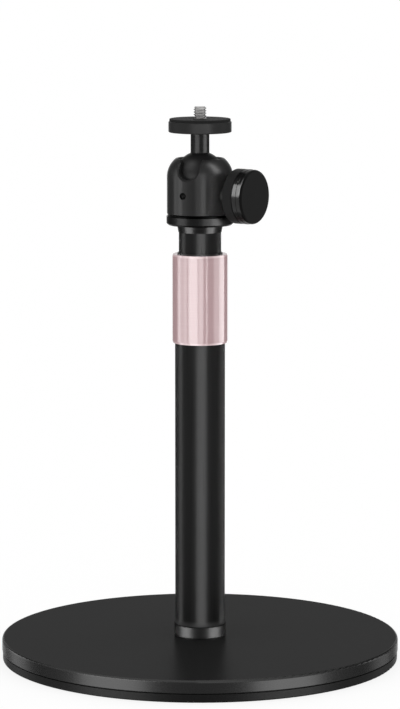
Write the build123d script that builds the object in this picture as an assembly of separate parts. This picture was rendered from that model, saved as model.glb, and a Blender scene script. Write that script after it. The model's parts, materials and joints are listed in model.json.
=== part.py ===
"""Portable projector stand: a heavy round base, a two-stage twist-lock pole and a small ball head.

Units are millimetres, +Z is up, the floor is z = 0 and the pole stands on the Z axis.
The front is -Y. Azimuths turn from the front, and a positive one goes to the viewer's right.
"""
from build123d import *
import math
import os

# Base
BASE_DIAMETER = 200.0
BASE_PLATE_THICKNESS = 6.5
BASE_TOP_ROUND = 1.2
BASE_LOWER_ROUND = 0.4
BASE_PAD_THICKNESS = 4.5
BASE_PAD_INSET = 0.3
BASE_PAD_ROUND = 0.6
BASE_GROOVE_HEIGHT = 0.4
BASE_GROOVE_DEPTH = 0.8
PAD_OPENING_MARGIN = 2.0

# Screw that holds the pole on the base
SCREW_DIAMETER = 8.0
SCREW_HEAD_DIAMETER = 14.0
SCREW_HEAD_HEIGHT = 3.8
SCREW_HEAD_ROUND = 1.4
SCREW_REACH = 18.0
SCREW_SOCKET_WIDTH = 5.0
SCREW_SOCKET_DEPTH = 2.4
WASHER_WIDTH = 2.5
WASHER_THICKNESS = 1.4
RECESS_DEPTH = 3.0
RECESS_MARGIN = 1.0

# Pole
TUBE_DIAMETER = 25.0
TUBE_WALL = 1.3
TUBE_LENGTH = 179.0
FOOT_PLUG_LENGTH = 25.0
FOOT_RING_WALL = 0.45
FOOT_RING_HEIGHT = 6.4
FOOT_RING_BEVEL = 0.4
UPPER_TUBE_WALL = 1.3
UPPER_TUBE_SHOWN = 11.05
GUIDE_LENGTH = 6.0
GUIDE_SPIGOT = 10.0
ROOM_UNDER_GUIDE = 14.5

# Twist lock
COLLAR_WALL = 1.15
COLLAR_LENGTH = 44.5
COLLAR_OVERLAP = 29.6
COLLAR_EDGE_INSET = 0.35
COLLAR_EDGE_HEIGHT = 1.0
COLLET_WALL = 0.5
COLLET_DEPTH = 25.0
COLLET_FLANGE = 2.5
COLLET_NOSE_WALL = 0.6
COLLET_LIP = 0.7
COLLET_SLOTS = 6
COLLET_SLOT_WIDTH = 0.8

# Pole cap and pan base
CAP_HEIGHT = 3.6
CAP_LOWER_FLARE = 0.25
CAP_UPPER_FLARE = 0.9
CAP_SPIGOT = 12.0
CAP_STUB_DIAMETER = 9.5
PAN_RIM = 0.2
PAN_HEIGHT = 4.3
PAN_BEVEL = 0.9
PAN_GROOVE = 1.35
PAN_GROOVE_DEPTH = 0.3
PAN_SPIGOT = 3.2

# Ball head
BALL_DIAMETER = 25.0
BALL_BELOW_RIM = 8.9
HOUSING_WALL = 3.83
HOUSING_HEIGHT = 27.4
HOUSING_LOWER_BEVEL = 0.2
SHOULDER_RADIUS = 12.0
SHOULDER_HEIGHT = 9.3
MOUTH_DIAMETER = 20.4
MOUTH_BEVEL = 1.4
NOTCH_AZIMUTH = -23.5
NOTCH_BELOW_BALL = 1.0
NOTCH_MARGIN = 0.65
NOTCH_BEVEL = 0.8
SEAT_HEIGHT = 2.6

# Stem and platform
STEM_DIAMETER = 9.35
STEM_ROUND = 0.4
STEM_TOP_FLARE = 0.6
PLATFORM_REACH = 21.85
PIVOT_DIAMETER = 6.0
PIVOT_LENGTH = 2.6
TOP_PLATE_DIAMETER = 31.4
TOP_PLATE_THICKNESS = 5.45
TOP_PLATE_LOWER_ROUND = 0.6
TOP_PLATE_UPPER_ROUND = 0.5
PLATE_PAD_THICKNESS = 1.3
PLATE_PAD_INSET = 0.5
PLATE_PAD_ROUND = 0.35
STUD_DIAMETER = 6.35
STUD_LENGTH = 6.0
STUD_BEVEL = 0.7
STUD_RELIEF = 0.4

# Clamp knob and set screw
KNOB_AZIMUTH = 56.5
KNOB_BELOW_BALL = 8.8
KNOB_DIAMETER = 27.2
KNOB_HUB_DIAMETER = 11.0
KNOB_HUB_LENGTH = 3.9
KNOB_GRIP_LENGTH = 5.7
KNOB_GRIP_ROUND = 1.2
KNOB_GROOVE_WIDTH = 0.3
KNOB_GROOVE_DEPTH = 0.6
KNOB_BEAD_LENGTH = 2.4
KNOB_BEAD_ROUND = 0.25
KNOB_CAP_LENGTH = 5.4
KNOB_CAP_STEP = 0.15
KNOB_CAP_ROUND = 1.3
KNOB_CAP_SPIGOT_DIAMETER = 16.0
KNOB_CAP_SPIGOT = 1.2
CLAMP_SCREW_DIAMETER = 6.0
CLAMP_SCREW_GRIP = 1.5
CLAMP_SHOE_SEAT = 2.0
BOSS_MARGIN = 0.3
BOSS_HEIGHT = 0.6
BOSS_ROUND = 0.25
SET_SCREW_AZIMUTH = -31.0
SET_SCREW_DIAMETER = 3.2
SET_SCREW_SUNK = 0.35
SET_SCREW_SOCKET_WIDTH = 1.5
SET_SCREW_SOCKET_DEPTH = 1.2

# Clearances
FIT = 0.05
SLIDE_CLEARANCE = 0.1
GUIDE_CLEARANCE = 0.15
TURN_CLEARANCE = 0.15
SOCKET_CLEARANCE = 0.15
PAN_CLEARANCE = 0.3
KNOB_CLEARANCE = 0.3
PIVOT_CLEARANCE = 0.1

# Radii that follow from the fits
washer_radius = SCREW_HEAD_DIAMETER / 2 + WASHER_WIDTH
recess_radius = washer_radius + RECESS_MARGIN
tube_radius = TUBE_DIAMETER / 2
tube_bore = tube_radius - TUBE_WALL
collet_outer = tube_bore - FIT
collet_inner = collet_outer - COLLET_WALL
collet_nose = collet_inner + COLLET_NOSE_WALL
upper_radius = collet_inner - SLIDE_CLEARANCE
upper_bore = upper_radius - UPPER_TUBE_WALL
collar_bore = tube_radius + TURN_CLEARANCE
collar_radius = collar_bore + COLLAR_WALL
ball_radius = BALL_DIAMETER / 2
socket_radius = ball_radius + SOCKET_CLEARANCE
housing_radius = socket_radius + HOUSING_WALL
pan_radius = housing_radius + PAN_RIM
stem_radius = STEM_DIAMETER / 2
stud_radius = STUD_DIAMETER / 2
shank_radius = stud_radius - STUD_RELIEF
clamp_radius = CLAMP_SCREW_DIAMETER / 2

# Heights that follow from the stack
base_top = BASE_PAD_THICKNESS + BASE_PLATE_THICKNESS
recess_top = BASE_PAD_THICKNESS + RECESS_DEPTH
washer_bottom = recess_top - WASHER_THICKNESS
tube_top = base_top + TUBE_LENGTH
collar_bottom = tube_top - COLLAR_OVERLAP
collar_top = collar_bottom + COLLAR_LENGTH
cap_bottom = collar_top + UPPER_TUBE_SHOWN
upper_bottom = base_top + FOOT_PLUG_LENGTH + ROOM_UNDER_GUIDE + GUIDE_LENGTH
pan_bottom = cap_bottom + CAP_HEIGHT
pan_top = pan_bottom + PAN_HEIGHT
housing_bottom = pan_top + PAN_GROOVE
rim_height = housing_bottom + HOUSING_HEIGHT
ball_height = rim_height - BALL_BELOW_RIM
knob_height = ball_height - KNOB_BELOW_BALL
platform_bottom = ball_height + PLATFORM_REACH
pad_bottom = platform_bottom + TOP_PLATE_THICKNESS
pad_top = pad_bottom + PLATE_PAD_THICKNESS

# Reach of the clamp knob from the pole axis
shoe_end = socket_radius + CLAMP_SHOE_SEAT
boss_reach = housing_radius + BOSS_HEIGHT
hub_start = boss_reach + KNOB_CLEARANCE
grip_start = hub_start + KNOB_HUB_LENGTH
grip_end = grip_start + KNOB_GRIP_LENGTH
cap_start = grip_end + KNOB_GROOVE_WIDTH
cap_end = cap_start + KNOB_CAP_LENGTH


def disc(radius, bottom, top):
    """Upright cylinder on the Z axis."""
    return Pos(0, 0, bottom) * Cylinder(radius, top - bottom, align=(Align.CENTER, Align.CENTER, Align.MIN))


def ring(outer, inner, bottom, top):
    """Upright hollow cylinder on the Z axis."""
    return disc(outer, bottom, top) - disc(inner, bottom, top)


def ball(radius):
    """Sphere about the ball centre."""
    return Pos(0, 0, ball_height) * Sphere(radius)


def turned(outline):
    """Solid of revolution about Z from (radius, height) corners."""
    return revolve(make_face(Polyline([(r, 0, z) for r, z in outline], close=True)), Axis.Z)


def hexagon_bar(width, bottom, top):
    """Upright bar with a hexagon section, for a key socket."""
    return Pos(0, 0, bottom) * extrude(RegularPolygon(width / 2, 6, major_radius=False), top - bottom)


def outward(azimuth, height, solid):
    """Lays a solid made along +Z so that it points out from the pole axis."""
    return Pos(0, 0, height) * Rot(0, 0, azimuth) * Rot(90, 0, 0) * solid


def circles_at(solid, height, radius):
    """Round edges of a solid at one height and radius."""
    edges = solid.edges().filter_by(GeomType.CIRCLE)
    return [e for e in edges if abs(e.center().Z - height) < 0.01 and abs(e.radius - radius) < 0.01]


# Base
def make_base_plate():
    radius = BASE_DIAMETER / 2
    plate = disc(radius, BASE_PAD_THICKNESS, base_top)
    plate = fillet(circles_at(plate, base_top, radius), BASE_TOP_ROUND)
    plate = fillet(circles_at(plate, BASE_PAD_THICKNESS, radius), BASE_LOWER_ROUND)
    plate -= disc(recess_radius, BASE_PAD_THICKNESS, recess_top)
    return plate - disc(SCREW_DIAMETER / 2 + FIT, recess_top, base_top)


def make_base_pad():
    radius = BASE_DIAMETER / 2 - BASE_PAD_INSET
    shelf = BASE_PAD_THICKNESS - BASE_GROOVE_HEIGHT
    pad = disc(radius, 0, shelf)
    pad = fillet(circles_at(pad, 0, radius), BASE_PAD_ROUND)
    pad += disc(radius - BASE_GROOVE_DEPTH, shelf, BASE_PAD_THICKNESS)
    return pad - disc(recess_radius + PAD_OPENING_MARGIN, 0, BASE_PAD_THICKNESS)


def make_base_screw():
    head_bottom = washer_bottom - SCREW_HEAD_HEIGHT
    head = disc(SCREW_HEAD_DIAMETER / 2, head_bottom, washer_bottom)
    head = fillet(circles_at(head, head_bottom, SCREW_HEAD_DIAMETER / 2), SCREW_HEAD_ROUND)
    head -= hexagon_bar(SCREW_SOCKET_WIDTH, head_bottom, head_bottom + SCREW_SOCKET_DEPTH)
    return head + disc(SCREW_DIAMETER / 2, washer_bottom, base_top + SCREW_REACH)


def make_base_washer():
    return ring(washer_radius, SCREW_DIAMETER / 2 + FIT, washer_bottom, recess_top)


# Pole
def make_foot_plug():
    return ring(tube_bore - FIT, SCREW_DIAMETER / 2 + FIT, base_top, base_top + FOOT_PLUG_LENGTH)


def make_foot_ring():
    inner = tube_radius + FIT
    outer = inner + FOOT_RING_WALL
    top = base_top + FOOT_RING_HEIGHT
    return turned([
        (inner, base_top),
        (outer - FOOT_RING_BEVEL, base_top),
        (outer, base_top + 2 * FOOT_RING_BEVEL),
        (outer, top - FOOT_RING_BEVEL),
        (outer - FOOT_RING_BEVEL, top),
        (inner, top),
    ])


def make_lower_tube():
    return ring(tube_radius, tube_bore, base_top, tube_top)


def make_upper_tube():
    return ring(upper_radius, upper_bore, upper_bottom, cap_bottom)


def make_guide_plug():
    guide = disc(tube_bore - GUIDE_CLEARANCE, upper_bottom - GUIDE_LENGTH, upper_bottom)
    return guide + disc(upper_bore - FIT, upper_bottom, upper_bottom + GUIDE_SPIGOT)


# Twist lock
def make_clamp_collet():
    nose_bottom = tube_top + COLLET_FLANGE
    lip_top = collar_top + COLLET_LIP
    collet = turned([
        (collet_inner, tube_top - COLLET_DEPTH),
        (collet_outer, tube_top - COLLET_DEPTH),
        (collet_outer, tube_top),
        (tube_radius, tube_top),
        (tube_radius, nose_bottom),
        (collet_nose, nose_bottom),
        (collet_nose, lip_top),
        (collet_inner, lip_top),
    ])
    slit = Box(COLLET_SLOT_WIDTH, tube_radius, lip_top - nose_bottom, align=(Align.CENTER, Align.MIN, Align.MIN))
    for number in range(COLLET_SLOTS):
        collet -= Rot(0, 0, 360 * number / COLLET_SLOTS) * Pos(0, 0, nose_bottom) * slit
    return collet


def make_lock_collar():
    step = tube_top + COLLET_FLANGE + TURN_CLEARANCE
    mouth = collet_nose + TURN_CLEARANCE
    return turned([
        (collar_bore, collar_bottom),
        (collar_radius - COLLAR_EDGE_INSET, collar_bottom),
        (collar_radius, collar_bottom + COLLAR_EDGE_HEIGHT),
        (collar_radius, collar_top - COLLAR_EDGE_HEIGHT),
        (collar_radius - COLLAR_EDGE_INSET, collar_top),
        (mouth, collar_top),
        (mouth, step),
        (collar_bore, step),
    ])


# Pole cap and pan base
def make_tube_cap():
    stub = CAP_STUB_DIAMETER / 2
    return turned([
        (0, cap_bottom - CAP_SPIGOT),
        (upper_bore - FIT, cap_bottom - CAP_SPIGOT),
        (upper_bore - FIT, cap_bottom),
        (upper_radius + CAP_LOWER_FLARE, cap_bottom),
        (upper_radius + CAP_UPPER_FLARE, pan_bottom),
        (stub, pan_bottom),
        (stub, pan_top),
        (0, pan_top),
    ])


def make_pan_base():
    base = disc(pan_radius, pan_bottom, pan_top)
    base = chamfer(circles_at(base, pan_bottom, pan_radius), PAN_BEVEL)
    base += disc(housing_radius - PAN_GROOVE_DEPTH, pan_top, housing_bottom - PAN_CLEARANCE)
    base += disc(socket_radius - PAN_CLEARANCE, pan_top, housing_bottom + PAN_SPIGOT)
    return base - disc(CAP_STUB_DIAMETER / 2 + FIT, pan_bottom, pan_top)


# Ball head
def make_ball_housing():
    shoulder = rim_height - SHOULDER_HEIGHT
    rim_radius = housing_radius - SHOULDER_RADIUS + math.sqrt(SHOULDER_RADIUS**2 - SHOULDER_HEIGHT**2)
    lean = math.asin(SHOULDER_HEIGHT / SHOULDER_RADIUS) / 2
    arc_middle = (
        housing_radius - SHOULDER_RADIUS * (1 - math.cos(lean)),
        0,
        shoulder + SHOULDER_RADIUS * math.sin(lean),
    )
    outline = [
        Polyline(
            (rim_radius, 0, rim_height),
            (0, 0, rim_height),
            (0, 0, housing_bottom),
            (housing_radius - HOUSING_LOWER_BEVEL, 0, housing_bottom),
            (housing_radius, 0, housing_bottom + HOUSING_LOWER_BEVEL),
            (housing_radius, 0, shoulder),
        ),
        ThreePointArc((housing_radius, 0, shoulder), arc_middle, (rim_radius, 0, rim_height)),
    ]
    housing = revolve(make_face(outline), Axis.Z)
    boss_radius = KNOB_HUB_DIAMETER / 2 + BOSS_MARGIN
    boss = disc(boss_radius, 0, boss_reach)
    boss = fillet(circles_at(boss, boss_reach, boss_radius), BOSS_ROUND)
    housing += outward(KNOB_AZIMUTH, knob_height, boss)
    housing -= ball(socket_radius)
    housing -= disc(socket_radius, housing_bottom, ball_height)
    housing -= disc(MOUTH_DIAMETER / 2, ball_height, rim_height)
    housing -= turned([
        (0, rim_height - MOUTH_BEVEL),
        (MOUTH_DIAMETER / 2, rim_height - MOUTH_BEVEL),
        (MOUTH_DIAMETER / 2 + MOUTH_BEVEL, rim_height),
        (0, rim_height),
    ])
    housing -= make_notch()
    notch_side = Vector(0, -1, 0).rotate(Axis.Z, NOTCH_AZIMUTH)
    curved = housing.edges().filter_by(GeomType.BSPLINE)
    notch_edges = [e for e in curved if e.position_at(0.5).dot(notch_side) > socket_radius + HOUSING_WALL / 4]
    housing = chamfer(notch_edges, NOTCH_BEVEL)
    housing -= outward(KNOB_AZIMUTH, knob_height, disc(clamp_radius + KNOB_CLEARANCE, 0, boss_reach))
    set_screw_hole = disc(SET_SCREW_DIAMETER / 2 + FIT, 0, housing_radius)
    return housing - outward(SET_SCREW_AZIMUTH, knob_height, set_screw_hole)


def make_notch():
    """Space of the notch that lets the stem lie down on one side."""
    half = stem_radius + NOTCH_MARGIN
    low = half - NOTCH_BELOW_BALL
    slot = Pos(0, low) * Circle(half)
    slot += Pos(0, (low + BALL_BELOW_RIM) / 2) * Rectangle(2 * half, BALL_BELOW_RIM - low)
    return outward(NOTCH_AZIMUTH, ball_height, extrude(slot, housing_radius))


def make_ball_seat():
    bottom = housing_bottom + PAN_SPIGOT + PAN_CLEARANCE
    return disc(socket_radius - FIT, bottom, bottom + SEAT_HEIGHT) - ball(socket_radius)


def make_set_screw():
    reach = housing_radius - SET_SCREW_SUNK
    screw = disc(SET_SCREW_DIAMETER / 2, 0, reach)
    screw -= hexagon_bar(SET_SCREW_SOCKET_WIDTH, reach - SET_SCREW_SOCKET_DEPTH, reach)
    return outward(SET_SCREW_AZIMUTH, knob_height, screw) - ball(socket_radius)


def make_ball_stem():
    shoulder = platform_bottom - PIVOT_CLEARANCE
    stem = ball(ball_radius) + disc(stem_radius, ball_height, shoulder)
    foot = ball_height + math.sqrt(ball_radius**2 - stem_radius**2)
    stem = fillet(circles_at(stem, foot, stem_radius), STEM_ROUND)
    stem += turned([
        (0, shoulder - STEM_TOP_FLARE),
        (stem_radius, shoulder - STEM_TOP_FLARE),
        (stem_radius + STEM_TOP_FLARE, shoulder),
        (0, shoulder),
    ])
    return stem + disc(PIVOT_DIAMETER / 2, shoulder, platform_bottom + PIVOT_LENGTH)


# Platform
def make_top_plate():
    radius = TOP_PLATE_DIAMETER / 2
    plate = disc(radius, platform_bottom, pad_bottom)
    plate = fillet(circles_at(plate, platform_bottom, radius), TOP_PLATE_LOWER_ROUND)
    plate = fillet(circles_at(plate, pad_bottom, radius), TOP_PLATE_UPPER_ROUND)
    pivot_top = platform_bottom + PIVOT_LENGTH + PIVOT_CLEARANCE
    plate -= disc(PIVOT_DIAMETER / 2 + PIVOT_CLEARANCE, platform_bottom, pivot_top)
    return plate - disc(shank_radius + FIT, pivot_top, pad_bottom)


def make_plate_pad():
    radius = TOP_PLATE_DIAMETER / 2 - PLATE_PAD_INSET
    pad = disc(radius, pad_bottom, pad_top)
    pad = fillet(circles_at(pad, pad_top, radius), PLATE_PAD_ROUND)
    return pad - disc(stud_radius + FIT, pad_bottom, pad_top)


def make_mount_stud():
    bottom = platform_bottom + PIVOT_LENGTH + PIVOT_CLEARANCE
    top = pad_top + STUD_LENGTH
    stud = disc(stud_radius, pad_top, top)
    stud = chamfer(circles_at(stud, top, stud_radius), STUD_BEVEL)
    return stud + disc(shank_radius, bottom, pad_top)


# Clamp knob
def make_clamp_shoe():
    shoe = disc(clamp_radius + KNOB_CLEARANCE - FIT, 0, shoe_end)
    return outward(KNOB_AZIMUTH, knob_height, shoe) - ball(socket_radius)


def make_clamp_screw():
    screw = disc(clamp_radius, shoe_end + FIT, grip_start + CLAMP_SCREW_GRIP)
    return outward(KNOB_AZIMUTH, knob_height, screw)


def make_knob_grip():
    radius = KNOB_DIAMETER / 2
    grip = disc(radius, grip_start, grip_end)
    grip = fillet(circles_at(grip, grip_start, radius), KNOB_GRIP_ROUND)
    grip = fillet(circles_at(grip, grip_end, radius), KNOB_BEAD_ROUND)
    grip += disc(KNOB_HUB_DIAMETER / 2, hub_start, grip_start)
    grip -= disc(clamp_radius + FIT, hub_start, grip_start + CLAMP_SCREW_GRIP)
    grip -= disc(KNOB_CAP_SPIGOT_DIAMETER / 2 + FIT, grip_end - KNOB_CAP_SPIGOT, grip_end)
    return outward(KNOB_AZIMUTH, knob_height, grip)


def make_knob_cap():
    bead_radius = KNOB_DIAMETER / 2
    bead_end = cap_start + KNOB_BEAD_LENGTH
    bead = disc(bead_radius, cap_start, bead_end)
    bead_edges = circles_at(bead, cap_start, bead_radius) + circles_at(bead, bead_end, bead_radius)
    cap_radius = bead_radius - KNOB_CAP_STEP
    cap = disc(cap_radius, cap_start, cap_end)
    cap = fillet(circles_at(cap, cap_end, cap_radius), KNOB_CAP_ROUND)
    cap += fillet(bead_edges, KNOB_BEAD_ROUND)
    cap += disc(bead_radius - KNOB_GROOVE_DEPTH, grip_end, cap_start)
    cap += disc(KNOB_CAP_SPIGOT_DIAMETER / 2, grip_end - KNOB_CAP_SPIGOT, grip_end)
    return outward(KNOB_AZIMUTH, knob_height, cap)


def main():
    nodes = {
        "base_plate": make_base_plate(),
        "base_pad": make_base_pad(),
        "base_screw": make_base_screw(),
        "base_washer": make_base_washer(),
        "foot_plug": make_foot_plug(),
        "foot_ring": make_foot_ring(),
        "lower_tube": make_lower_tube(),
        "clamp_collet": make_clamp_collet(),
        "lock_collar": make_lock_collar(),
        "upper_tube": make_upper_tube(),
        "guide_plug": make_guide_plug(),
        "tube_cap": make_tube_cap(),
        "pan_base": make_pan_base(),
        "ball_housing": make_ball_housing(),
        "ball_seat": make_ball_seat(),
        "set_screw": make_set_screw(),
        "ball_stem": make_ball_stem(),
        "top_plate": make_top_plate(),
        "plate_pad": make_plate_pad(),
        "mount_stud": make_mount_stud(),
        "clamp_shoe": make_clamp_shoe(),
        "clamp_screw": make_clamp_screw(),
        "knob_grip": make_knob_grip(),
        "knob_cap": make_knob_cap(),
    }
    os.makedirs("parts", exist_ok=True)
    for name, solid in nodes.items():
        export_step(solid, f"parts/{name}.step")


if __name__ == "__main__":
    main()
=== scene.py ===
"""Looks of the portable projector stand: finishes, threads, studio and camera round the fixed frame.

Units are metres. The front is -Y, azimuths turn from the front, and a positive one goes to the viewer's right.
"""

import json
import math

import bmesh
import bpy
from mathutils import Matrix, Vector


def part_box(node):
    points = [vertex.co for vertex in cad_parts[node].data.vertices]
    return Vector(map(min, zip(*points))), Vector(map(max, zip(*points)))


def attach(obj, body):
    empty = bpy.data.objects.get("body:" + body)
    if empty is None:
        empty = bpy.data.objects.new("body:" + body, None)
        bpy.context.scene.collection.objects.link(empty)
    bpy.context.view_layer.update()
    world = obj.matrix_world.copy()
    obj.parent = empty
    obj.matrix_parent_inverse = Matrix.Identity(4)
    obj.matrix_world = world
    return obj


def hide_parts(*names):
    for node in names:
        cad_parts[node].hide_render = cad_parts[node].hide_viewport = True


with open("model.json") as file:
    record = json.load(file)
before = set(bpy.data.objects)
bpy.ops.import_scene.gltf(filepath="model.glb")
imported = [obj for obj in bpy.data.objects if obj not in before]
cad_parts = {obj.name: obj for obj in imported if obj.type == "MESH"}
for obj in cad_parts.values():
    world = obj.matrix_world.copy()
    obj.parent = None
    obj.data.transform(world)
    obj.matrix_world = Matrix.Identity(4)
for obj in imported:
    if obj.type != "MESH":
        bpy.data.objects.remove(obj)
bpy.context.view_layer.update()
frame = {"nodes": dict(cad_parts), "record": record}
nodes = frame["nodes"]
scene = bpy.context.scene

# Camera
CAMERA_DISTANCE = 1.7
CAMERA_HEIGHT = 0.3961
CAMERA_PITCH = 8.10
CAMERA_LENS = 174.2
CAMERA_SENSOR = 36.0

# Studio: the floor's own white, the level of the sky that lights the stand, and the brightness that gloss sees round
# the stand, by azimuth, up to a slope where it turns to plain white
FLOOR_SIZE = 60.0
FLOOR_GLOW = 0.8
DAYLIGHT = 0.75
WALLS = (
    (-180, 0.95), (-164, 0.95), (-150, 0.15), (-116, 0.15), (-98, 0.95),
    (98, 0.95), (116, 0.15), (150, 0.15), (164, 0.95), (180, 0.95),
)
WALLS_END = 0.5
CEILING_START = 0.9

# Soft boxes: their distance from the pole, and the bottom and top of the common ones
BOX_DISTANCE = 1.2
FULL = (-0.7, 0.9)
HALF = (-0.7, 0.3)
LOW = (-0.9, -0.05)
EVEN = (-0.9, 0.9)
TALL = (-1.6, 1.6)

# Places where a finish changes: the groove under the ball housing, painted as shade, the stem above the ball, the
# tube's edge over its foot ring, the collar's edges with a painted highlight, the painted shade round the set screw,
# the screw's socket with a painted highlight, and the dome of the ball housing
GROOVE_DEPTH = 0.0005
GROOVE_BLEND = 0.0001
STEM_BLEND = 0.004
FOOT_EDGE = 0.0028
FOOT_EDGE_START = 0.4
COLLAR_HIGHLIGHT_BAND = 0.0012
SCREW_SHADE_RADIUS = 0.0019
SOCKET_HIGHLIGHT_RADIUS = 0.0008
SOCKET_SUNK = 0.0010
SCREW_BLEND = 0.0002
DOME_HEIGHT = 0.011

# Relief
MICRON = 0.000001

# Grey of painted shade, for a part that shows no light, such as a groove
PAINTED_SHADE_BLACK = 0.0006

# Thread of the top screw
THREAD_PITCH = 0.00127
THREAD_DEPTH = 0.00062
THREAD_CREST = 0.16
THREAD_ROOT = 0.12
THREAD_BEVEL = 0.0007
THREAD_STEPS = 72
THREAD_ROWS_PER_PITCH = 20
THREAD_RUNOUT = 0.0004


def direction(azimuth):
    """Level unit vector from the pole towards an azimuth in degrees."""
    turn = math.radians(azimuth)
    return Vector((math.sin(turn), -math.cos(turn), 0))


def link_object(name, data):
    """New object with that data in the scene."""
    made = bpy.data.objects.new(name, data)
    scene.collection.objects.link(made)
    return made


def grey(level, warmth=0.0):
    """Opaque grey, a little warmer or cooler."""
    return (level * (1 + warmth), level, level * (1 - warmth), 1)


def screw_mouth(sunk=0.0):
    """Point on the set screw's axis, sunk that far under the wall of the ball housing."""
    low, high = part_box("set_screw")
    middle = (low + high) / 2
    wall = Vector((middle.x, middle.y, 0)).normalized() * (-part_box("ball_housing")[0].x - sunk)
    return Vector((wall.x, wall.y, middle.z))


class Nodes:
    """A node tree that is built node by node."""

    def __init__(self, tree):
        self.tree = tree

    def node(self, kind, **inputs):
        """Adds a node and feeds its inputs with values or with other nodes' outputs."""
        made = self.tree.nodes.new(kind)
        for socket, value in inputs.items():
            self.feed(made.inputs[socket.replace("_", " ")], value)
        return made

    def feed(self, socket, value):
        """Links an output to a socket, or sets the socket to a plain value."""
        if isinstance(value, bpy.types.NodeSocket):
            self.tree.links.new(value, socket)
        else:
            socket.default_value = value

    def calc(self, operation, *values):
        """Result of one operation on numbers."""
        made = self.tree.nodes.new("ShaderNodeMath")
        made.operation = operation
        for socket, value in zip(made.inputs, values):
            self.feed(socket, value)
        return made.outputs["Value"]

    def span(self, value, low, high, start=0.3, end=0.7):
        """Maps a value from start..end to low..high; most of a noise lies between the given start and end."""
        made = self.node("ShaderNodeMapRange", Value=value, From_Min=start, From_Max=end, To_Min=low, To_Max=high)
        return made.outputs["Result"]

    def blend(self, mask, first, second):
        """Number between two numbers."""
        return self.node("ShaderNodeMix", Factor=mask, A=first, B=second).outputs["Result"]

    def mix(self, mask, first, second):
        """Colour between two colours."""
        made = self.tree.nodes.new("ShaderNodeMix")
        made.data_type = "RGBA"
        self.feed(made.inputs["Factor"], mask)
        self.feed(made.inputs["A"], first)
        self.feed(made.inputs["B"], second)
        return made.outputs["Result"]


class Finish(Nodes):
    """A procedural material round one shader; its patterns and masks lie in the piece's own space."""

    def __init__(self, name, **sockets):
        self.material = bpy.data.materials.new(name)
        self.material.use_nodes = True
        super().__init__(self.material.node_tree)
        self.shader = self.tree.nodes["Principled BSDF"]
        for socket, value in sockets.items():
            self.set(socket.replace("_", " "), value)
        self.place = self.node("ShaderNodeTexCoord")

    def set(self, socket, value):
        """Feeds a socket of the shader."""
        self.feed(self.shader.inputs[socket], value)

    def fed(self, socket):
        """What a socket of the shader is fed with."""
        return self.shader.inputs[socket].links[0].from_socket

    def noise(self, scale, stretch=(1, 1, 1), detail=3.0):
        """Noise from 0 to 1; stretch squeezes it along an axis."""
        mapped = self.node("ShaderNodeMapping", Vector=self.place.outputs["Object"], Scale=stretch)
        made = self.node("ShaderNodeTexNoise", Vector=mapped.outputs["Vector"], Scale=scale, Detail=detail)
        return made.outputs["Fac"]

    def height(self):
        """Height of the place."""
        return self.node("ShaderNodeSeparateXYZ", Vector=self.place.outputs["Object"]).outputs["Z"]

    def upward(self):
        """How far the surface faces up, from -1 to 1."""
        return self.node("ShaderNodeSeparateXYZ", Vector=self.place.outputs["Normal"]).outputs["Z"]

    def away_from(self, point):
        """Distance from a point."""
        made = self.node("ShaderNodeVectorMath", Vector=self.place.outputs["Object"])
        made.operation = "DISTANCE"
        made.inputs[1].default_value = point
        return made.outputs["Value"]

    def away_from_axis(self):
        """Distance from the pole's axis."""
        level = self.node("ShaderNodeVectorMath", Vector=self.place.outputs["Object"])
        level.operation = "MULTIPLY"
        level.inputs[1].default_value = (1, 1, 0)
        made = self.node("ShaderNodeVectorMath", Vector=level.outputs["Vector"])
        made.operation = "LENGTH"
        return made.outputs["Value"]

    def without(self, mask):
        """The rest of a mask."""
        return self.span(mask, 1, 0, start=0, end=1)

    def paint_shade(self, mask):
        """Paints shade: turns the masked part dead black."""
        self.set("Base Color", self.mix(mask, self.fed("Base Color"), grey(PAINTED_SHADE_BLACK)))
        self.set("Metallic", mask)

    def bump(self, height, microns):
        """Relief of that depth."""
        made = self.node("ShaderNodeBump", Height=height, Distance=microns * MICRON, Strength=1.0)
        self.set("Normal", made.outputs["Normal"])
        return made.outputs["Normal"]


# Finishes
def base_coat():
    """Satin coat on top with a faint mirror, a smooth turned rim and a painted highlight line along its upper edge.
    """
    made = Finish(
        "base_coat", Specular_IOR_Level=0.0, Specular_Tint=grey(0.5), Coat_Weight=0.125, Coat_Roughness=0.32,
    )
    upward = made.upward()
    face = made.span(made.calc("ABSOLUTE", upward), 0, 1, start=0.94, end=0.99)
    # painted highlight: a paler band where the rim turns up to the top
    edge_highlight_mask = made.span(upward, 0, 1, start=0.1, end=0.5)
    top = made.mix(made.noise(18, detail=4), grey(0.0139), grey(0.0171))
    rim = made.mix(made.noise(60), grey(0.0135), grey(0.0155))
    painted_edge_highlight = made.mix(made.noise(90), grey(0.042), grey(0.050))
    made.set("Base Color", made.mix(face, made.mix(edge_highlight_mask, rim, painted_edge_highlight), top))
    made.set("Metallic", made.without(face))
    made.set("Roughness", made.span(made.noise(900), 0.25, 0.29))
    grain = made.calc("MULTIPLY", made.noise(2600, detail=2), face)
    made.set("Coat Normal", made.bump(grain, microns=10))
    return made.material


def base_rubber():
    """Dense rubber with a fine dull grain."""
    made = Finish("base_rubber", Specular_IOR_Level=0.08)
    made.set("Base Color", made.mix(made.noise(700), grey(0.0029), grey(0.0048)))
    made.set("Roughness", made.span(made.noise(1500), 0.32, 0.42))
    made.bump(made.noise(3200), microns=10)
    return made.material


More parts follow.
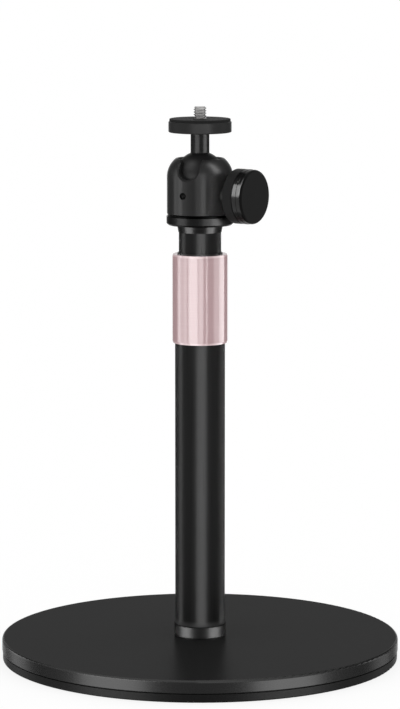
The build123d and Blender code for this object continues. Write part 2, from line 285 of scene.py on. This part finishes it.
def pole_black():
    """Anodised tube with faint drawing lines along its length and a paler, duller edge at its foot.

    The gloss comes from a share of tinted metal, which glares less at the tube's sides than a clear coat does.
    """
    made = Finish("pole_black", Specular_IOR_Level=0.0, Specular_Tint=grey(0.7))
    lines = made.noise(1400, stretch=(1, 1, 0.02))
    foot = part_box("foot_ring")[1].z
    edge = made.span(made.height(), 1, 0, start=foot + FOOT_EDGE_START * FOOT_EDGE, end=foot + FOOT_EDGE)
    skin = made.mix(lines, grey(0.0163), grey(0.0207))
    made.set("Base Color", made.mix(edge, skin, grey(0.0417)))
    made.set("Metallic", made.span(edge, 0.28, 0.137, start=0, end=1))
    made.set("Roughness", made.blend(edge, made.span(lines, 0.27, 0.34), 0.5))
    made.bump(lines, microns=2)
    return made.material


def dark_chrome():
    """Dark polished metal with faint turning marks."""
    made = Finish("dark_chrome", Specular_IOR_Level=0.11)
    lines = made.noise(1600, stretch=(0.04, 0.04, 1))
    made.set("Base Color", made.mix(lines, grey(0.0029), grey(0.0048)))
    made.set("Roughness", made.span(lines, 0.24, 0.30))
    made.bump(lines, microns=2)
    return made.material


def foot_chrome():
    """The same dark metal, polished brighter, on the foot ring, with a dull upper edge."""
    made = Finish("foot_chrome", Specular_IOR_Level=0.0, Specular_Tint=grey(0.45))
    lines = made.noise(1600, stretch=(0.04, 0.04, 1))
    edge = made.span(made.upward(), 0, 1, start=0.2, end=0.5)
    made.set("Base Color", made.mix(edge, made.mix(lines, grey(0.030), grey(0.036)), grey(0.016)))
    made.set("Metallic", made.without(edge))
    made.set("Roughness", made.span(lines, 0.37, 0.42))
    return made.material


def collar_rose():
    """Rose-coloured sleeve under a clear gloss, turned and lightly brushed, with a painted highlight along its top
    and bottom edges.
    """
    made = Finish("collar_rose", Specular_IOR_Level=0.6)
    lines = made.noise(2200, stretch=(0.03, 0.03, 1))
    skin = made.mix(lines, (0.533, 0.349, 0.363, 1), (0.573, 0.381, 0.395, 1))
    low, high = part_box("lock_collar")
    height = made.height()
    # painted highlight: paler bands along the collar's top and bottom edges
    upper = made.span(height, 0, 1, start=high.z - COLLAR_HIGHLIGHT_BAND, end=high.z - COLLAR_HIGHLIGHT_BAND / 2)
    lower = made.span(height, 1, 0, start=low.z + COLLAR_HIGHLIGHT_BAND / 2, end=low.z + COLLAR_HIGHLIGHT_BAND)
    made.set("Base Color", made.mix(made.calc("ADD", upper, lower), skin, (0.77, 0.57, 0.585, 1)))
    made.set("Roughness", made.span(lines, 0.14, 0.18))
    made.bump(lines, microns=1.5)
    return made.material


def blasted_black(name, low, high, specular, shine, dull):
    """Fine-blasted black metal between two grey levels and two roughnesses."""
    made = Finish(name, Specular_IOR_Level=specular)
    made.set("Base Color", made.mix(made.noise(160), grey(low), grey(high)))
    made.set("Roughness", made.span(made.noise(2400), shine, dull))
    made.bump(made.noise(4200, detail=2), microns=4)
    return made


def head_black():
    """Body of the ball head, duller on its dome, with painted shade round the set screw."""
    made = blasted_black("head_black", low=0.0213, high=0.0247, specular=0.07, shine=0.17, dull=0.23)
    # painted shade: dead black round the set screw's hole
    made.paint_shade(made.span(made.away_from(screw_mouth()), 1, 0, start=SCREW_SHADE_RADIUS - SCREW_BLEND, end=SCREW_SHADE_RADIUS))
    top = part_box("ball_housing")[1].z
    dome = made.span(made.height(), 0, 1, start=top - DOME_HEIGHT, end=top - DOME_HEIGHT / 2)
    made.set("Roughness", made.blend(dome, made.fed("Roughness"), 0.32))
    return made.material


def plate_black():
    """Platform, a little paler than the head."""
    made = blasted_black("plate_black", low=0.0273, high=0.0320, specular=0.07, shine=0.26, dull=0.34)
    return made.material


def pan_black():
    """Pan base with painted shade, dead black, in the groove under the housing."""
    made = blasted_black("pan_black", low=0.0037, high=0.0051, specular=0.08, shine=0.26, dull=0.34)
    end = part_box("pan_base")[1].x - GROOVE_DEPTH / 2
    # painted shade in the groove under the housing
    made.paint_shade(made.span(made.away_from_axis(), 1, 0, start=end - GROOVE_BLEND, end=end + GROOVE_BLEND))
    return made.material


def ball_black():
    """Satin black ball with a smoother stem, and faint turning rings."""
    made = Finish("ball_black", Specular_IOR_Level=0.07)
    rings = made.noise(1800, stretch=(0.05, 0.05, 1))
    made.set("Base Color", made.mix(rings, grey(0.0147), grey(0.0173)))
    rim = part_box("ball_housing")[1].z
    stem = made.span(made.height(), 0, 1, start=rim, end=rim + STEM_BLEND)
    made.set("Roughness", made.blend(stem, made.span(rings, 0.44, 0.50), made.span(rings, 0.24, 0.30)))
    made.bump(rings, microns=1.5)
    return made.material


def moulded_black(name, low, high, specular, shine, dull):
    """Moulded black plastic with a slight orange peel."""
    made = Finish(name, Specular_IOR_Level=specular)
    made.set("Base Color", made.mix(made.noise(220), grey(low), grey(high)))
    made.set("Roughness", made.span(made.noise(1500), shine, dull))
    made.bump(made.noise(1300, detail=2), microns=4)
    return made.material


def knob_black():
    """Smooth front cap of the knob."""
    return moulded_black("knob_black", low=0.0053, high=0.0069, specular=0.05, shine=0.14, dull=0.19)


def grip_black():
    """Duller grip and hub of the knob."""
    return moulded_black("grip_black", low=0.0167, high=0.0200, specular=0.08, shine=0.48, dull=0.58)


def inner_plastic():
    """Black moulded plastic of the collet, plugs and seat."""
    made = Finish("inner_plastic", Specular_IOR_Level=0.12)
    made.set("Base Color", made.mix(made.noise(500), grey(0.008), grey(0.012)))
    made.set("Roughness", made.span(made.noise(1400), 0.36, 0.48))
    made.bump(made.noise(2600), microns=6)
    return made.material


def pad_rubber():
    """Thin rubber disc on the platform."""
    made = Finish("pad_rubber", Specular_IOR_Level=0.10)
    made.set("Base Color", made.mix(made.noise(600), grey(0.0133), grey(0.0213)))
    made.set("Roughness", made.span(made.noise(1600), 0.62, 0.78))
    made.bump(made.noise(3600, detail=2), microns=30)
    return made.material


def screw_steel():
    """Plain zinc-bright steel with turning marks."""
    made = Finish("screw_steel", Metallic=1.0)
    lines = made.noise(2000, stretch=(0.08, 0.08, 1))
    made.set("Base Color", made.mix(lines, grey(0.50, 0.01), grey(0.60, 0.01)))
    made.set("Roughness", made.span(lines, 0.24, 0.36))
    made.bump(lines, microns=3)
    return made.material


def screw_dark():
    """Blackened set screw with a painted highlight on its socket."""
    made = Finish("screw_dark", Specular_IOR_Level=0.0)
    reach = made.away_from(screw_mouth(SOCKET_SUNK))
    # painted highlight: a paler, dull centre on the screw's socket
    socket = made.span(reach, 1, 0, start=SOCKET_HIGHLIGHT_RADIUS, end=SOCKET_HIGHLIGHT_RADIUS + SCREW_BLEND)
    skin = made.mix(made.noise(1500), grey(0.004), grey(0.008))
    made.set("Base Color", made.mix(socket, skin, grey(0.08)))
    made.set("Metallic", made.without(socket))
    made.set("Roughness", made.span(made.noise(2500), 0.35, 0.5))
    made.bump(made.noise(4000), microns=5)
    return made.material


def dress_nodes(finishes):
    """Gives each solid the finish of its slot in the record, or its own kind of that finish."""
    own = {"foot_ring": "foot_chrome", "pan_base": "pan_black", "top_plate": "plate_black", "knob_grip": "grip_black"}
    for subpart in frame["record"]["subparts"]:
        solid = nodes[subpart["node"]]
        solid.data.materials.clear()
        solid.data.materials.append(finishes[own.get(subpart["node"], subpart["material_slot"])])


# Threaded top screw
def thread_depth(phase):
    """Depth below the crest, from 0 to 1, at a place along one pitch."""
    flank = (1 - THREAD_CREST - THREAD_ROOT) / 2
    across = abs((phase % 1.0) - 0.5)
    return min(1.0, max(0.0, (0.5 - THREAD_CREST / 2 - (0.5 - across)) / flank))


def make_thread(finish):
    """Screw with a real helical thread in place of the plain stud."""
    low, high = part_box("mount_stud")
    pad_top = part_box("plate_pad")[1].z
    crest = (high.x - low.x) / 2
    shank = crest - THREAD_DEPTH
    rows = round((high.z - low.z) / THREAD_PITCH * THREAD_ROWS_PER_PITCH)
    shape = bmesh.new()
    rings = []
    for row in range(rows + 1):
        z = low.z + (high.z - low.z) * row / rows
        fade = min(1.0, max(0.0, (z - pad_top + THREAD_RUNOUT) / THREAD_RUNOUT))
        limit = crest - max(0.0, z - high.z + THREAD_BEVEL)
        ring = []
        for step in range(THREAD_STEPS):
            turn = 2 * math.pi * step / THREAD_STEPS
            depth = thread_depth(z / THREAD_PITCH - step / THREAD_STEPS)
            radius = min(limit, shank + (crest - shank) * (1 - depth) * fade)
            ring.append(shape.verts.new((radius * math.cos(turn), radius * math.sin(turn), z)))
        rings.append(ring)
    for lower, upper in zip(rings, rings[1:]):
        for step in range(THREAD_STEPS):
            after = (step + 1) % THREAD_STEPS
            shape.faces.new((lower[step], lower[after], upper[after], upper[step]))
    shape.faces.new(list(reversed(rings[0])))
    shape.faces.new(rings[-1])
    mesh = bpy.data.meshes.new("threaded_stud")
    shape.to_mesh(mesh)
    shape.free()
    mesh.materials.append(finish)
    stud = link_object("threaded_stud", mesh)
    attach(stud, "platform")
    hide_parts("mount_stud")


# Studio
def make_floor():
    """White floor that shows only the soft shadow of what stands on it."""
    half = FLOOR_SIZE / 2
    mesh = bpy.data.meshes.new("floor")
    mesh.from_pydata([(-half, -half, 0), (half, -half, 0), (half, half, 0), (-half, half, 0)], [], [(0, 1, 2, 3)])
    white = Finish(
        "floor_white", Base_Color=grey((1 - FLOOR_GLOW) / DAYLIGHT), Specular_IOR_Level=0.0,
        Emission_Color=grey(1), Emission_Strength=FLOOR_GLOW,
    )
    mesh.materials.append(white.material)
    floor = link_object("floor", mesh)
    floor.visible_diffuse = False
    floor.visible_glossy = False
    floor.visible_shadow = False


def make_sky():
    """White surroundings that light the stand evenly; gloss sees them dim at the sides behind it."""
    world = bpy.data.worlds.new("studio")
    world.use_nodes = True
    scene.world = world
    sky = Nodes(world.node_tree)
    ray = sky.node("ShaderNodeLightPath")
    place = sky.node("ShaderNodeTexCoord")
    toward = sky.node("ShaderNodeSeparateXYZ", Vector=place.outputs["Generated"]).outputs
    azimuth = sky.calc("ARCTAN2", toward["X"], sky.calc("MULTIPLY", toward["Y"], -1))
    ramp = sky.node("ShaderNodeValToRGB", Fac=sky.span(azimuth, 0, 1, start=-math.pi, end=math.pi))
    stops = ramp.color_ramp.elements
    while len(stops) < len(WALLS):
        stops.new(1.0)
    for stop, (degrees, level) in zip(stops, WALLS):
        stop.position = (degrees + 180) / 360
        stop.color = grey(level)
    ceiling = sky.span(sky.calc("ABSOLUTE", toward["Z"]), 0, 1, start=WALLS_END, end=CEILING_START)
    room = sky.node("ShaderNodeBackground", Color=sky.mix(ceiling, ramp.outputs["Color"], grey(1)))
    plain = sky.tree.nodes["Background"]
    sky.feed(plain.inputs["Color"], grey(1))
    sky.feed(plain.inputs["Strength"], sky.span(ray.outputs["Is Camera Ray"], DAYLIGHT, 1, start=0, end=1))
    chosen = sky.node("ShaderNodeMixShader", Fac=ray.outputs["Is Glossy Ray"])
    sky.feed(chosen.inputs[1], plain.outputs["Background"])
    sky.feed(chosen.inputs[2], room.outputs["Background"])
    sky.feed(sky.tree.nodes["World Output"].inputs["Surface"], chosen.outputs["Shader"])


def make_light_box(name, azimuth, half_width, reach, radiance, lit, alone=False):
    """Upright soft box that shows only as a gloss on the named solids; alone, nothing else shades it."""
    bottom, top = reach
    lamp = bpy.data.lights.new(name, "AREA")
    lamp.shape = "RECTANGLE"
    lamp.size = 2 * BOX_DISTANCE * math.tan(math.radians(half_width))
    lamp.size_y = top - bottom
    lamp.energy = radiance * math.pi * lamp.size * lamp.size_y
    box = link_object(name, lamp)
    box.location = direction(azimuth) * BOX_DISTANCE + Vector((0, 0, (top + bottom) / 2))
    box.rotation_euler = (math.radians(90), 0, math.radians(azimuth))
    box.visible_diffuse = False
    lit_solids = bpy.data.collections.new(name + "_lit")
    for node in lit:
        lit_solids.objects.link(nodes[node])
    box.light_linking.receiver_collection = lit_solids
    if alone:
        box.light_linking.blocker_collection = lit_solids
        lamp.cycles.use_multiple_importance_sampling = False


def make_light_boxes():
    """Soft boxes, each set for one bright band on its solids."""
    tubes = ["lower_tube", "upper_tube", "clamp_collet"]
    base = ["base_plate", "base_pad"]
    # Name, azimuth, half width in degrees, bottom and top, radiance, solids, and whether it is alone
    boxes = (
        ("tube_front", 6.5, 23, FULL, 15.2, tubes, True),
        ("tube_left", -101, 11, FULL, 9.3, tubes, True),
        ("tube_left_rear", -128, 12, FULL, 1.8, tubes, True),
        ("tube_right_rear", 122, 20, FULL, 3.9, tubes, True),
        ("base_left", -50, 20, HALF, 6.6, base),
        ("base_right", 50, 20, HALF, 6.8, base),
        ("base_left_rear", -125, 11, HALF, 4.1, ["base_plate"]),
        ("base_right_rear", 125, 11, HALF, 2.8, ["base_plate"]),
        ("pad_left_rear", -121, 13, HALF, 0.9, ["base_pad"]),
        ("pad_right_rear", 121, 13, HALF, 0.6, ["base_pad"]),
        ("foot_left", -66, 24, LOW, 8.6, ["foot_ring"], True),
        ("foot_right", 67, 25, LOW, 8.8, ["foot_ring"], True),
        ("foot_left_rear", -128, 22, LOW, 0.6, ["foot_ring"], True),
        ("foot_right_rear", 128, 22, LOW, 0.6, ["foot_ring"], True),
        ("cap_left", -62, 21, EVEN, 17.5, ["tube_cap"]),
        ("cap_right", 60, 21, EVEN, 18.5, ["tube_cap"]),
        ("pan_left", -66, 18, FULL, 8, ["pan_base"]),
        ("pan_front", 26, 16, FULL, 8, ["pan_base"]),
        ("pan_right", 58, 17, FULL, 22, ["pan_base"]),
        ("head_left", -90, 11, FULL, 4.4, ["ball_housing"]),
        ("head_left_front", -72, 7, FULL, 8.8, ["ball_housing"]),
        ("head_side_left", -55, 9, FULL, 2.3, ["ball_housing"]),
        ("head_centre_left", -38, 8, FULL, 0.8, ["ball_housing"]),
        ("head_front_left", -6, 9, FULL, 3.8, ["ball_housing"]),
        ("head_front", 11.5, 8, FULL, 10, ["ball_housing"]),
        ("head_right", 42, 12, (-0.7, 0.5), 4.6, ["ball_housing"], True),
        ("head_right_side", 86, 28, (-0.7, 0.25), 2.6, ["ball_housing"], True),
        ("head_shoulder", 66, 12, (0.7, 2.8), 30, ["ball_housing"]),
        ("ball_left", -62, 14, (1.1, 2.6), 25, ["ball_stem"]),
        ("stem_left", -36, 26, HALF, 13, ["ball_stem"]),
        ("stem_right", 64, 22, HALF, 17, ["ball_stem"]),
        ("plate_front", 5, 36, FULL, 3.4, ["top_plate"]),
        ("plate_right", 31, 11, FULL, 2, ["top_plate"]),
        ("knob_side", -71, 12, (0.29, 1.42), 50, ["knob_cap"]),
        ("knob_edge", -49, 10, (0.4, 5.0), 110, ["knob_cap"]),
        ("knob_low", -62, 28, (-2.4, 0.25), 5, ["knob_cap"]),
        ("knob_face", 113, 25, EVEN, 0.6, ["knob_cap"]),
        ("collar_left", -80, 27, TALL, 3.2, ["lock_collar"]),
        ("collar_left_line", -95, 4, TALL, 2.2, ["lock_collar"]),
        ("collar_left_front", -64, 6, TALL, 1.6, ["lock_collar"]),
        ("collar_main", -29, 20, TALL, 8.3, ["lock_collar"]),
        ("collar_front", 4, 10, TALL, 5.5, ["lock_collar"]),
        ("collar_line", 28, 2, TALL, 9, ["lock_collar"]),
        ("collar_right", 72, 12, TALL, 2.7, ["lock_collar"]),
        ("collar_right_rear", 103, 17, TALL, 5.9, ["lock_collar"]),
    )
    for box in boxes:
        make_light_box(*box)


def make_camera():
    """Camera at the photograph's viewing angle."""
    lens = bpy.data.cameras.new("camera")
    lens.lens = CAMERA_LENS
    lens.sensor_width = CAMERA_SENSOR
    camera = link_object("camera", lens)
    camera.location = (0, -CAMERA_DISTANCE, CAMERA_HEIGHT)
    camera.rotation_euler = (math.radians(90 - CAMERA_PITCH), 0, 0)
    scene.camera = camera


finishes = {
    make.__name__: make()
    for make in (
        base_coat, base_rubber, pole_black, dark_chrome, foot_chrome, collar_rose, head_black, plate_black, pan_black,
        ball_black, knob_black, grip_black, inner_plastic, pad_rubber, screw_steel, screw_dark,
    )
}
dress_nodes(finishes)
make_thread(finishes["screw_steel"])
make_floor()
make_sky()
make_light_boxes()
make_camera()
scene.view_settings.view_transform = "Standard"
